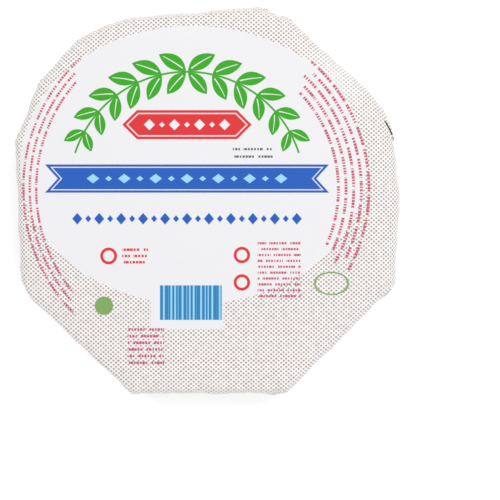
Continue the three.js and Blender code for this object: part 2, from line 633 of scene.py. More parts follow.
def add_mesh(
    name: str,
    points: np.ndarray,
    faces: list[list[int]],
    maps: dict[str, np.ndarray],
    paper: bpy.types.Material,
) -> bpy.types.Object:
    """Make a piece of paper from points in millimetres.

    Args:
        name: the piece's name.
        points: its points, from the middle of the cheese.
        faces: its faces, as numbers of points.
        maps: for each map, the place of every face's corners in turn.
        paper: its material.

    Returns:
        The piece, linked into the scene.
    """
    middle = np.array((*OUTLINE_MIDDLE, 0.0))
    mesh = bpy.data.meshes.new(name)
    mesh.from_pydata(((points - middle) * METRES).tolist(), [], faces)
    for map_name, places in maps.items():
        layer = mesh.uv_layers.new(name=map_name)
        layer.data.foreach_set("uv", places.astype(np.float32).ravel())
    mesh.validate()
    mesh.shade_smooth()
    mesh.set_sharp_from_angle(angle=SHARP_FOLD)
    mesh.materials.append(paper)
    piece = bpy.data.objects.new(name, mesh)
    bpy.context.scene.collection.objects.link(piece)
    return piece


def thin_sheet(
    name: str,
    outer: np.ndarray,
    inner: np.ndarray,
    places: np.ndarray,
    paper: bpy.types.Material,
) -> bpy.types.Object:
    """Make a thin closed piece of paper from its two faces.

    Args:
        name: the piece's name.
        outer: the grid of its outer face.
        inner: the grid of its inner face.
        places: each grid point's place on the flat sheet.
        paper: its material.

    Returns:
        The piece.
    """
    rows, columns = outer.shape[:2]
    count = rows * columns
    number = np.arange(count).reshape(rows, columns)
    near = np.stack((number[:-1, :-1], number[:-1, 1:], number[1:, 1:], number[1:, :-1]), axis=-1)
    far = near[..., ::-1] + count
    rim = np.concatenate((number[0, :], number[1:, -1], number[-1, -2::-1], number[-2:0:-1, 0]))
    after = np.roll(rim, -1)
    edge = np.stack((after, rim, rim + count, after + count), axis=-1)
    faces = np.concatenate((near.reshape(-1, 4), far.reshape(-1, 4), edge))
    points = np.concatenate((outer.reshape(-1, 3), inner.reshape(-1, 3)))
    flat = places.reshape(-1, 2)[faces % count]
    return add_mesh(name, points, faces.tolist(), {SHEET_MAP: flat}, paper)


class Value:
    """A number that changes over a surface: a socket whose operators add Math nodes."""

    def __init__(self, graph: "Graph", socket: bpy.types.NodeSocket) -> None:
        """Wrap a socket of a graph."""
        self.graph = graph
        self.socket = socket

    def __add__(self, other: "Number") -> "Value":
        """Add."""
        return self.graph.math("ADD", self, other)

    __radd__ = __add__

    def __sub__(self, other: "Number") -> "Value":
        """Take away."""
        return self.graph.math("SUBTRACT", self, other)

    def __rsub__(self, other: "Number") -> "Value":
        """Take this from a number."""
        return self.graph.math("SUBTRACT", other, self)

    def __mul__(self, other: "Number") -> "Value":
        """Multiply."""
        return self.graph.math("MULTIPLY", self, other)

    __rmul__ = __mul__

    def __truediv__(self, other: "Number") -> "Value":
        """Divide."""
        return self.graph.math("DIVIDE", self, other)

    def __rtruediv__(self, other: "Number") -> "Value":
        """Divide a number by this."""
        return self.graph.math("DIVIDE", other, self)

    def __abs__(self) -> "Value":
        """Drop the sign."""
        return self.graph.math("ABSOLUTE", self)

    def fract(self) -> "Value":
        """Keep what is after the point."""
        return self.graph.math("FRACT", self)

    def floor(self) -> "Value":
        """Keep what is before the point."""
        return self.graph.math("FLOOR", self)

    def least(self, other: "Number") -> "Value":
        """Give the smaller of two."""
        return self.graph.math("MINIMUM", self, other)

    def most(self, other: "Number") -> "Value":
        """Give the larger of two."""
        return self.graph.math("MAXIMUM", self, other)

    def root(self) -> "Value":
        """Give the square root."""
        return self.graph.math("SQRT", self)

    def mask(self, blur: float) -> "Value":
        """Turn a distance inside a shape into a mask with an edge of this width."""
        return self.graph.math("MULTIPLY_ADD", self, 1.0 / blur, 0.5, clamp=True)

    def above(self, level: float) -> "Value":
        """Give 1 where this is above a level."""
        return self.graph.math("GREATER_THAN", self, level)


Number = Value | float | int


class Graph:
    """The nodes of one material."""

    def __init__(self, material: bpy.types.Material) -> None:
        """Clear a material's nodes and take them over.

        Args:
            material: the material.
        """
        material.use_nodes = True
        self.tree = material.node_tree
        self.tree.nodes.clear()

    def node(
        self, kind: str, settings: dict[str, object] | None = None, sockets: dict | None = None
    ) -> bpy.types.Node:
        """Add a node.

        Args:
            kind: the node's type.
            settings: its own settings, which are set first.
            sockets: the value or link of each input, by name or number.

        Returns:
            The node.
        """
        made = self.tree.nodes.new(kind)
        for name, setting in (settings or {}).items():
            setattr(made, name, setting)
        for key, value in (sockets or {}).items():
            if isinstance(value, Value):
                self.tree.links.new(value.socket, made.inputs[key])
            elif isinstance(value, bpy.types.NodeSocket):
                self.tree.links.new(value, made.inputs[key])
            else:
                made.inputs[key].default_value = value
        return made

    def math(self, operation: str, *terms: Number, clamp: bool = False) -> Value:
        """Add a Math node.

        Args:
            operation: what it does.
            terms: its inputs.
            clamp: whether the result is kept between 0 and 1.

        Returns:
            The result.
        """
        settings = {"operation": operation, "use_clamp": clamp}
        made = self.node("ShaderNodeMath", settings, dict(enumerate(terms)))
        return Value(self, made.outputs[0])

    def mix(self, share: Number, under: object, over: object) -> bpy.types.NodeSocket:
        """Lay one colour over another.

        Args:
            share: how much of the upper colour shows.
            under: the lower colour.
            over: the upper colour.

        Returns:
            The mixed colour.
        """
        sockets = {0: share, 6: under, 7: over}
        return self.node("ShaderNodeMix", {"data_type": "RGBA"}, sockets).outputs[2]

    def pair(self, across: Number, up: Number) -> bpy.types.NodeSocket:
        """Join two numbers into a vector."""
        return self.node("ShaderNodeCombineXYZ", None, {"X": across, "Y": up}).outputs[0]

    def noise(
        self, vector: bpy.types.NodeSocket, scale: float, detail: float, rough: float = 0.5
    ) -> Value:
        """Add smooth noise.

        Args:
            vector: where it is read.
            scale: how many waves a unit has.
            detail: how many finer layers it has.
            rough: how strong the finer layers are.

        Returns:
            The noise, about a half.
        """
        sockets = {"Vector": vector, "Scale": scale, "Detail": detail, "Roughness": rough}
        made = self.node("ShaderNodeTexNoise", {"noise_dimensions": "2D"}, sockets)
        return Value(self, made.outputs[0])

    def chance(self, across: Number, up: Number) -> Value:
        """Give each whole-numbered place its own number from 0 to 1.

        Args:
            across: the place's first number.
            up: its second number.

        Returns:
            The numbers.
        """
        sockets = {"Vector": self.pair(across, up)}
        made = self.node("ShaderNodeTexWhiteNoise", {"noise_dimensions": "2D"}, sockets)
        return Value(self, made.outputs[0])


# The most light that coated paper gives back
BRIGHTEST = 0.92


class Ink(Enum):
    """The colours of the paper and its inks, as a display shows them."""

    PAPER = (250, 249, 248)
    TINT = (237, 236, 239)
    SCREEN = (165, 151, 146)
    WARM_SCREEN = (170, 150, 146)
    # The screen's colour under the painted highlight on the upper right shoulder, in place of the
    # coating's gloss
    HIGHLIGHT_SCREEN = (212, 207, 204)
    RED = (223, 44, 48)
    ROSE = (200, 84, 112)
    GREEN = (50, 168, 10)
    SAGE = (128, 168, 98)
    BLUE = (20, 92, 188)
    SKY = (156, 216, 246)
    STEEL = (38, 128, 186)
    STAMP = (96, 94, 98)

    @property
    def linear(self) -> tuple[float, float, float, float]:
        """The colour as a share of the light that it gives back."""
        red, green, blue = (((part / 255.0 + 0.055) / 1.055) ** 2.4 for part in self.value)
        return (red * BRIGHTEST, green * BRIGHTEST, blue * BRIGHTEST, 1.0)


@dataclass
class Brush:
    """Where the print is being drawn: a place on the flat sheet, in millimetres."""

    graph: Graph
    x: Value
    y: Value

    def oval(self, centre: Pair, half: Pair) -> Value:
        """Give the distance inside an oval.

        Args:
            centre: its middle.
            half: half its width and height.

        Returns:
            The distance, negative outside.
        """
        across = (self.x - centre[0]) / half[0]
        up = (self.y - centre[1]) / half[1]
        return (1.0 - (across * across + up * up).root()) * min(half)

    def box(self, centre: Pair, half: Pair) -> Value:
        """Give the distance inside a box.

        Args:
            centre: its middle.
            half: half its width and height.

        Returns:
            The distance, negative outside.
        """
        across = half[0] - abs(self.x - centre[0])
        return across.least(half[1] - abs(self.y - centre[1]))


@dataclass(frozen=True)
class Mark(ABC):
    """One printed mark on the sheet.

    Attributes:
        ink: its colour.
        centre: its middle, or the point that it is laid out round.
    """

    ink: Ink
    centre: Pair

    @abstractmethod
    def mask(self, brush: Brush) -> Value:
        """Give 1 where the mark is inked."""


# The width of a mark's soft edge
EDGE = 0.22

# The steepness of a lozenge's sides
LOZENGE_SLOPE = 0.7

# A row's strokes: the least half of one, what luck adds, and their shift from row to row
STROKE_HALF = 0.22
STROKE_LUCK = 0.26
STROKE_SHIFT = 0.37

# A row's groups of strokes: the strokes in one, the half of it that is inked, and their shift
GROUP_STROKES = 7.3
GROUP_HALF = 0.43
GROUP_SHIFT = 0.61


@dataclass(frozen=True)
class Oval(Mark):
    """A plain oval, or a ring where it has a line width."""

    half: Pair
    line: float = 0.0

    def mask(self, brush: Brush) -> Value:
        """Give 1 inside the oval or on its line.

        Args:
            brush: where the print is drawn.

        Returns:
            The mask.
        """
        inside = brush.oval(self.centre, self.half)
        if self.line > 0.0:
            inside = inside.least(self.line - inside)
        return inside.mask(EDGE)


@dataclass(frozen=True)
class Ribbon(Mark):
    """A band with pointed or notched ends, or a line that runs inside its edge.

    Attributes:
        half: half its width and height.
        point: how far its ends run out to a point, or in to a notch where negative.
        inline: the start and end of a line inside the edge, or none.
    """

    half: Pair
    point: float
    inline: Pair | None = None

    def mask(self, brush: Brush) -> Value:
        """Give 1 on the band or on its line.

        Args:
            brush: where the print is drawn.

        Returns:
            The mask.
        """
        up = abs(brush.y - self.centre[1])
        slope = self.point / self.half[1]
        end = self.half[0] - up * slope - abs(brush.x - self.centre[0])
        inside = (self.half[1] - up).least(end / math.hypot(1.0, slope))
        if self.inline is not None:
            inside = (inside - self.inline[0]).least(self.inline[1] - inside)
        return inside.mask(EDGE)


@dataclass(frozen=True)
class Lozenges(Mark):
    """A row of lozenges, every other one smaller.

    Attributes:
        count: how many there are.
        pitch: the distance between them.
        half: half the width and height of a large one.
        small: the size of a small one, as a share of a large one.
    """

    count: int
    pitch: float
    half: Pair
    small: float

    def mask(self, brush: Brush) -> Value:
        """Give 1 inside each lozenge.

        Args:
            brush: where the print is drawn.

        Returns:
            The mask.
        """
        along = (brush.x - self.centre[0]) / self.pitch + self.count / 2.0
        cell = along.floor()
        odd = (cell * 0.5).fract() * 2.0
        size = 1.0 - odd * (1.0 - self.small)
        across = abs(along.fract() - 0.5) * (self.pitch / self.half[0])
        up = abs(brush.y - self.centre[1]) / self.half[1]
        inside = (size - across - up) * (min(self.half) * LOZENGE_SLOPE)
        row = self.count * self.pitch / 2.0 - abs(brush.x - self.centre[0])
        return inside.least(row).mask(EDGE)


class Leaf(Enum):
    """The parts of a sprig."""

    BLADE = "blade"
    VEIN = "vein"


@dataclass(frozen=True)
class Sprig(Mark):
    """Pairs of leaves along a stem that arches over a point, larger at its top.

    Attributes:
        part: whether the leaves or the lines in them are drawn.
        radius: the stem's distance from the point.
        spread: how far the stem runs to each side of upright, in degrees.
        pairs: how many pairs each half has.
        leaf: a leaf's length and half its width.
        splay: the angle between a leaf and the stem, in degrees.
        shrink: how much smaller the last leaves are.
        reach: how far from the stem a leaf's middle is, as a share of its length.
        stem: half the stem's width.
        vein: half the width of a leaf's line, and how much it thins.
        vein_half: half the length of a leaf's line, as a share of the leaf's.
    """

    part: Leaf
    radius: float
    spread: float
    pairs: int
    leaf: Pair
    splay: float
    shrink: float = 0.4
    reach: float = 0.54
    stem: float = 0.5
    vein: Pair = (0.24, 0.12)
    vein_half: float = 0.36

    def mask(self, brush: Brush) -> Value:
        """Give 1 on the leaves and stem, or on the leaves' lines.

        Args:
            brush: where the print is drawn.

        Returns:
            The mask.
        """
        x = brush.x - self.centre[0]
        y = brush.y - self.centre[1]
        half_length = self.radius * math.radians(self.spread)
        out = abs(brush.graph.math("ARCTAN2", x, y)) * self.radius
        off = (x * x + y * y).root() - self.radius
        pitch = half_length / self.pairs
        cell = out / pitch
        step = cell.floor()
        size = 1.0 - step * step * (self.shrink / self.pairs**2)
        splay = math.radians(self.splay)
        length, half_width = self.leaf
        along = cell.fract() * pitch / size
        up = abs(off) / size
        run = along * math.cos(splay) + up * math.sin(splay) - length * self.reach
        side = up * math.cos(splay) - along * math.sin(splay)
        taper = run * (2.0 / length)
        blade = (1.0 - taper * taper) * half_width - abs(side)
        ends = half_length - out
        if self.part is Leaf.VEIN:
            line = self.vein[0] - abs(side) - taper * self.vein[1]
            return line.least(length * self.vein_half - abs(run)).least(ends).mask(EDGE)
        stem = self.stem - abs(off)
        return blade.most(stem).least(ends).mask(EDGE)


@dataclass(frozen=True)
class Stripes(Mark):
    """Upright stripes of two uneven rhythms inside a box.

    Attributes:
        half: half the box's width and height.
        rhythms: for each rhythm its pitch and, as shares of it, half a stripe and the shift.
    """

    half: Pair
    rhythms: tuple[tuple[float, float, float], ...] = ((1.9, 0.26, 0.0), (3.1, 0.17, 0.3))

    def mask(self, brush: Brush) -> Value:
        """Give 1 on each stripe.

        Args:
            brush: where the print is drawn.

        Returns:
            The mask.
        """
        inside = brush.box(self.centre, self.half)
        first, second = (
            (half - abs((brush.x / pitch + shift).fract() - 0.5)) * pitch
            for pitch, half, shift in self.rhythms
        )
        return first.most(second).least(inside).mask(EDGE)


def strokes(graph: Graph, run: Value, row: Value, pitch: float) -> Value:
    """Break a row into uneven short strokes, with a wider gap now and then.

    Args:
        graph: the material's nodes.
        run: the distance along the row.
        row: the row's number.
        pitch: the length of a stroke with its gap.

    Returns:
        The distance inside a stroke, negative in the gaps.
    """
    step = run / pitch + row * STROKE_SHIFT
    luck = graph.chance(step.floor(), row)
    stroke = (STROKE_HALF + STROKE_LUCK * luck - abs(step.fract() - 0.5)) * pitch
    length = pitch * GROUP_STROKES
    group = run / length + row * GROUP_SHIFT
    return stroke.least((GROUP_HALF - abs(group.fract() - 0.5)) * length)


@dataclass(frozen=True)
class DashArcs(Mark):
    """Rows of uneven dashes bent round a point.

    Attributes:
        radius: the inner row's inner edge.
        spacing: the distance between rows.
        rows: how many there are.
        faces: the bearing of the middle of the rows, in degrees.
        spread: how far they run to each side of it, in degrees.
        pitch: the length of a dash with its gap.
        weight: a dash's height, as a share of the spacing.
        shortest: the least length of a row, as a share of the spread.
        draw: the number that the rows' lengths are drawn from.
    """

    radius: float
    spacing: float
    rows: int
    faces: float
    spread: float
    pitch: float
    weight: float
    shortest: float = 0.78
    draw: float = 5.0

    def mask(self, brush: Brush) -> Value:
        """Give 1 on each dash.

        Args:
            brush: where the print is drawn.

        Returns:
            The mask.
        """
        turn = math.radians(self.faces)
        x = brush.x - self.centre[0]
        y = brush.y - self.centre[1]
        ahead = x * math.cos(turn) + y * math.sin(turn)
        aside = y * math.cos(turn) - x * math.sin(turn)
        reach = (ahead * ahead + aside * aside).root()
        angle = brush.graph.math("ARCTAN2", aside, ahead)
        level = (reach - self.radius) / self.spacing
        row = level.floor()
        inner = (level * (self.rows - level)).above(0.0)
        middle = self.radius + self.spacing * self.rows / 2.0
        dash = strokes(brush.graph, angle * middle, row, self.pitch)
        line = (self.weight / 2.0 - abs(level.fract() - 0.5)) * self.spacing
        luck = brush.graph.chance(row, self.draw)
        share = self.shortest + (1.0 - self.shortest) * luck
        ends = (math.radians(self.spread) * share - abs(angle)) * middle
        return dash.least(line).least(ends).mask(EDGE) * inner


@dataclass(frozen=True)
class DashBlock(Mark):
    """Straight rows of uneven dashes in a box."""

    half: Pair
    spacing: float
    pitch: float
    weight: float

    def mask(self, brush: Brush) -> Value:
        """Give 1 on each dash.

        Args:
            brush: where the print is drawn.

        Returns:
            The mask.
        """
        level = (brush.y - self.centre[1] + self.half[1]) / self.spacing
        row = level.floor()
        dash = strokes(brush.graph, brush.x - self.centre[0] + self.half[0], row, self.pitch)
        line = (self.weight / 2.0 - abs(level.fract() - 0.5)) * self.spacing
        return dash.least(line).least(brush.box(self.centre, self.half)).mask(EDGE)


@dataclass(frozen=True)
class DotScreen(Mark):
    """A staggered screen of small dots over the sheet, left off an oval and a box.

    Attributes:
        half: half the width and height of the clear oval.
        box_centre: the middle of the clear box.
        box_half: half its width and height.
        pitch: the distance between dots in a row, and between alternate rows.
        radius: a dot's radius.
        blur: the width of a dot's soft edge.
        squat: how much wider a dot is than it is tall.
        uneven: how much the dots' sizes differ, as a share of the radius.
        patches: how many patches of larger or smaller dots a millimetre has.
    """

    half: Pair
    box_centre: Pair
    box_half: Pair
    pitch: Pair
    radius: float = 0.56
    blur: float = 0.5
    squat: float = 1.12
    uneven: float = 0.5
    patches: float = 0.35

    def clear(self, brush: Brush) -> Value:
        """Give 1 where the screen is left off."""
        inside = brush.oval(self.centre, self.half)
        return inside.most(brush.box(self.box_centre, self.box_half)).mask(EDGE)

    def mask(self, brush: Brush) -> Value:
        """Give 1 on each dot.

        Args:
            brush: where the print is drawn.

        Returns:
            The mask.
        """
        across = brush.x / self.pitch[0]
        up = brush.y / self.pitch[1]
        rising = (across + up).fract() - 0.5
        falling = (across - up).fract() - 0.5
        dx = (rising + falling) * (self.pitch[0] / 2.0)
        dy = (rising - falling) * (self.pitch[1] / 2.0 * self.squat)
        gain = brush.graph.noise(brush.graph.pair(brush.x, brush.y), self.patches, 1.0)
        size = self.radius * (1.0 - self.uneven / 2.0) + gain * (self.radius * self.uneven)
        dots = (size - (dx * dx + dy * dy).root()).mask(self.blur)
        return dots * (1.0 - self.clear(brush))


SCREEN = DotScreen(
    Ink.SCREEN,
    centre=(-8.0, 18.4),
    half=(88.4, 71.0),
    box_centre=(-10.9, -54.0),
    box_half=(18.6, 11.2),
    pitch=(2.556, 2.171),
)

# Where a highlight is painted: the screen's ink is lighter here, in place of the coating's gloss on
# the upper right shoulder
HIGHLIGHT_CENTRE = (57.0, 56.0)
HIGHLIGHT_HALF = (15.0, 15.0)
HIGHLIGHT_BLUR = 18.0

# Where the screen's ink grows warmer: past a slanting line towards the lower left
WARM_START = -18.0
WARM_SLANT = 0.4
WARM_BLUR = 60.0

PRINT_MIDDLE = -11.0
WREATH = Sprig(Ink.GREEN, (PRINT_MIDDLE, 6.0), Leaf.BLADE, 60.0, 72.0, 6, (15.5, 3.6), 40.0)
BADGE = Ribbon(Ink.RED, (PRINT_MIDDLE, 39.0), (33.0, 7.4), 7.4)
BANNER = Ribbon(Ink.BLUE, (PRINT_MIDDLE, 11.5), (66.0, 7.2), -6.5)
STRIPE_FIELD = Ribbon(Ink.SKY, (-9.1, -51.8), (15.8, 8.8), 0.0)
ARC_CENTRE = (-4.7, 6.2)

PRINT: tuple[Mark, ...] = (
    WREATH,
    replace(WREATH, ink=Ink.TINT, part=Leaf.VEIN),
    BADGE,
    replace(BADGE, ink=Ink.TINT, inline=(1.4, 2.0)),
    Lozenges(Ink.TINT, BADGE.centre, 7, 6.4, (2.8, 2.8), 0.5),
    BANNER,
    replace(BANNER, ink=Ink.TINT, inline=(1.2, 1.7)),
    Lozenges(Ink.SKY, BANNER.centre, 13, 8.0, (3.2, 2.4), 0.55),
    Lozenges(Ink.BLUE, (PRINT_MIDDLE, -9.0), 21, 5.6, (2.6, 3.0), 0.6),
    Oval(Ink.RED, (-51.0, -28.0), (4.3, 4.3), 1.5),
    DashBlock(Ink.RED, (-37.5, -28.0), (6.6, 4.8), 3.2, 1.7, 0.4),
    Oval(Ink.RED, (17.0, -27.5), (4.2, 4.2), 1.5),
    Oval(Ink.RED, (17.0, -41.5), (4.2, 4.2), 1.5),
    DashBlock(Ink.ROSE, (36.0, -35.0), (11.0, 15.0), 3.0, 1.4, 0.38),
    STRIPE_FIELD,
    Stripes(Ink.STEEL, STRIPE_FIELD.centre, STRIPE_FIELD.half),
    DashArcs(Ink.ROSE, ARC_CENTRE, 81.6, 3.4, 3, 179.0, 52.0, 1.4, 0.36),
    DashArcs(Ink.ROSE, ARC_CENTRE, 69.0, 3.9, 5, 10.0, 43.0, 1.5, 0.38),
    DashBlock(Ink.ROSE, (-32.0, -74.0), (9.4, 10.2), 3.4, 1.5, 0.38),
    Oval(Ink.SAGE, (-53.4, -53.4), (4.7, 4.7)),
    Oval(Ink.SAGE, (62.7, -42.0), (9.0, 6.0), 0.7),
    DashBlock(Ink.STAMP, (22.5, 24.6), (10.2, 3.8), 3.8, 1.6, 0.3),
)


@dataclass(frozen=True)
class PrintedPaper:
    """Thin coated paper with the print on it.

    A noise is its waves in a millimetre, its finer layers and their strength.

    Attributes:
        name: the material's name.
        roughness: how matt the coating is.
        uneven: how much the roughness differs over the sheet.
        cloud: the noise of the roughness.
        gloss: how much light the coating throws back.
        fibre: the depth of the fine tooth.
        fibre_noise: the noise of the fine tooth.
        crinkle: the depth of the soft crinkles.
        crinkle_noise: the noise of the soft crinkles.
    """

    name: str = "printed_paper"
    roughness: float = 0.45
    uneven: float = 0.1
    cloud: tuple[float, float, float] = (0.045, 3.0, 0.5)
    gloss: float = 0.35
    fibre: float = 0.012
    fibre_noise: tuple[float, float, float] = (2.6, 2.0, 0.5)
    crinkle: float = 0.16
    crinkle_noise: tuple[float, float, float] = (0.06, 4.0, 0.55)

    def material(self) -> bpy.types.Material:
        """Make the material.

        Returns:
            The material, whose print is read from the flat sheet's map.
        """
        material = bpy.data.materials.new(self.name)
        graph = Graph(material)
        place = graph.node("ShaderNodeUVMap", {"uv_map": SHEET_MAP}).outputs[0]
        parts = graph.node("ShaderNodeSeparateXYZ", None, {0: place})
        brush = Brush(graph, Value(graph, parts.outputs[0]), Value(graph, parts.outputs[1]))
        cloud = graph.noise(place, *self.cloud)
        sockets = {
            "Base Color": self.colour(brush),
            "Roughness": self.roughness - self.uneven / 2.0 + cloud * self.uneven,
            "Specular IOR Level": self.gloss,
            "Normal": self.tooth(graph, place),
        }
        shader = graph.node("ShaderNodeBsdfPrincipled", None, sockets)
        graph.node("ShaderNodeOutputMaterial", None, {0: shader.outputs[0]})
        return material

    def colour(self, brush: Brush) -> bpy.types.NodeSocket:
        """Print every mark over the paper.

        Args:
            brush: where the print is drawn.

        Returns:
            The printed colour, with a highlight painted into the screen's ink at the upper right.
        """
        graph = brush.graph
        colour = graph.mix(SCREEN.clear(brush), Ink.PAPER.linear, Ink.TINT.linear)
        warm = (WARM_START - brush.x * WARM_SLANT - brush.y).mask(WARM_BLUR)
        ink = graph.mix(warm, Ink.SCREEN.linear, Ink.WARM_SCREEN.linear)
        # Painted highlight: the screen's ink turns lighter over the upper right shoulder
        pale = brush.oval(HIGHLIGHT_CENTRE, HIGHLIGHT_HALF).mask(HIGHLIGHT_BLUR)
        ink = graph.mix(pale, ink, Ink.HIGHLIGHT_SCREEN.linear)
        colour = graph.mix(SCREEN.mask(brush), colour, ink)
        for mark in PRINT:
            colour = graph.mix(mark.mask(brush), colour, mark.ink.linear)
        return colour

    def tooth(self, graph: Graph, place: bpy.types.NodeSocket) -> bpy.types.NodeSocket:
        """Make the coating's fine tooth and soft crinkles.

        Args:
            graph: the material's nodes.
            place: the place on the flat sheet.

        Returns:
            The surface's bent normal.
        """
        soft = graph.noise(place, *self.crinkle_noise) * self.crinkle
        fine = graph.noise(place, *self.fibre_noise) * self.fibre
        sockets = {"Strength": 1.0, "Distance": METRES, "Height": soft + fine}
        return graph.node("ShaderNodeBump", None, sockets).outputs[0]


@dataclass
class Wrapper:
    """The closed paper, filled out by the cheese.

    Attributes:
        form: the paper's shape.
        surface: the paper's outer face.
        name: the piece's name.
        disc_size: the top's width on the map for finished colours, as a share of the map.
        strip_height: the height there of a strip of wall.
        gap: the gap there between the parts.
        disc_margin: how far the top's and the base's parts stay inside their room.
        strip_margin: how far a strip stays inside its room.
        places: each side's places on the flat sheet, once it is laid flat.
    """

    form: PaperForm
    surface: Surface
    name: str = "wrapper"
    disc_size: float = 0.80
    strip_height: float = 0.09
    gap: float = 0.006
    disc_margin: float = 1.0
    strip_margin: float = 3.0
    places: list[np.ndarray] = field(default_factory=list)

    def build(self, paper: bpy.types.Material) -> bpy.types.Object:
        """Make the paper's mesh and dress it.

        Args:
            paper: its material.

        Returns:
            The piece.
        """
        surface = self.surface
        columns, rows = surface.points.shape[:2]
        inner = rows - 2
        body = surface.points[:, 1:-1].reshape(-1, 3)
        points = np.concatenate((surface.points[:1, 0], surface.points[:1, -1], body))
        number = np.empty((columns + 1, rows), dtype=np.int64)
        number[:, 0] = 0
        number[:, -1] = 1
        number[:-1, 1:-1] = 2 + np.arange(columns * inner).reshape(columns, inner)
        number[-1] = number[0]
        faces: list[list[int]] = []
        for block in self.blocks(number[:-1], number[1:]):
            faces += block.reshape(-1, block.shape[-1]).tolist()
        maps = {}
        for map_name, grids in ((BAKE_MAP, self.bake_places()), (SHEET_MAP, self.unroll())):
            maps[map_name] = np.concatenate([block.reshape(-1, 2) for block in self.blocks(*grids)])
        return add_mesh(self.name, points, faces, maps, paper)

    @staticmethod
    def blocks(start: np.ndarray, stop: np.ndarray) -> tuple[np.ndarray, ...]:
        """Gather the corners of the faces: the quads, then the middles of the base and the top.

        Args:
            start: a value for each row, at the start of each column of faces.
            stop: a value for each row, at its end.

        Returns:
            The values at each face's corners.
        """
        quads = np.stack((start[:, 1:-2], stop[:, 1:-2], stop[:, 2:-1], start[:, 2:-1]), axis=2)
        base = np.stack((start[:, 0], stop[:, 1], start[:, 1]), axis=1)
        top = np.stack((start[:, -2], stop[:, -2], start[:, -1]), axis=1)
        return quads, base, top

    def unroll(self) -> tuple[np.ndarray, np.ndarray]:
        """Lay the paper flat, side by side.

        Returns:
            The sheet's places at the start and at the end of each column of faces.
        """
        per_side = self.surface.ring.per_side
        wrapped = np.concatenate((self.surface.points, self.surface.points[:1]))
        starts = []
        stops = []
        self.places.clear()
        for index, side in enumerate(self.form.sides):
            columns = wrapped[index * per_side : (index + 1) * per_side + 1]
            flat = sheet_places(self.form, columns, side.panel)
            self.places.append(flat)
            starts.append(flat[:-1])
            stops.append(flat[1:])
        return np.concatenate(starts), np.concatenate(stops)

    def bake_places(self) -> tuple[np.ndarray, np.ndarray]:
        """Lay out the map for the finished colours: the top as a large disc, the walls as two strips.

        Returns:
            The map's places at the start and at the end of each column of faces.
        """
        ring = self.surface.ring
        foot = self.surface.section.foot
        edge = self.surface.section.shoulder
        steps = step_lengths(self.surface.points)
        fall = run_down(steps)
        rise = run_down(steps[:, ::-1])[:, ::-1]
        spokes = (ring.rim / np.linalg.norm(ring.rim, axis=1, keepdims=True))[:, None, :]
        half = self.disc_size / 2.0
        scale = half / (fall[:, edge].max() + self.disc_margin)
        top = self.gap + half + spokes * (fall * scale)[..., None]
        low_half = (1.0 - self.disc_size - 4.0 * self.gap) / 2.0
        low_scale = low_half / (rise[:, foot].max() + self.disc_margin)
        low_centre = np.array((1.0 - self.gap - low_half, self.gap + low_half))
        low = low_centre + spokes * (rise * low_scale)[..., None]
        starts = top.copy()
        stops = np.roll(top, -1, axis=0)
        starts[:, :foot] = low[:, :foot]
        stops[:, :foot] = np.roll(low, -1, axis=0)[:, :foot]
        return self.strip_places(starts, stops, rise)

    def strip_places(
        self, starts: np.ndarray, stops: np.ndarray, rise: np.ndarray
    ) -> tuple[np.ndarray, np.ndarray]:
        """Put the walls on the map as two long strips above the disc.

        Args:
            starts: the map's places at the start of each column of faces.
            stops: the map's places at the end of each column of faces.
            rise: each point's distance from the middle of the base along its column.

        Returns:
            The starts and stops with the walls in place.
        """
        ring = self.surface.ring
        section = self.surface.section
        rows = slice(section.foot, section.shoulder)
        after = np.concatenate((ring.along[1:], (ring.length,)))
        half = ring.length / 2.0
        lower = ring.along >= half
        shift = np.where(lower, half, 0.0)
        scale = (1.0 - 2.0 * self.gap) / (half + self.strip_margin)
        tall = rise[:, rows] - rise[:, section.foot : section.foot + 1]
        floor = self.disc_size + 2.0 * self.gap + np.where(lower, self.strip_height, 0.0)
        up = floor[:, None] + tall * scale
        start = self.gap + (ring.along - shift) * scale
        stop = self.gap + (after - shift) * scale
        starts[:, rows] = np.stack((np.broadcast_to(start[:, None], up.shape), up), axis=-1)
        stops[:, rows] = np.stack((np.broadcast_to(stop[:, None], up.shape), up), axis=-1)
        return starts, stops


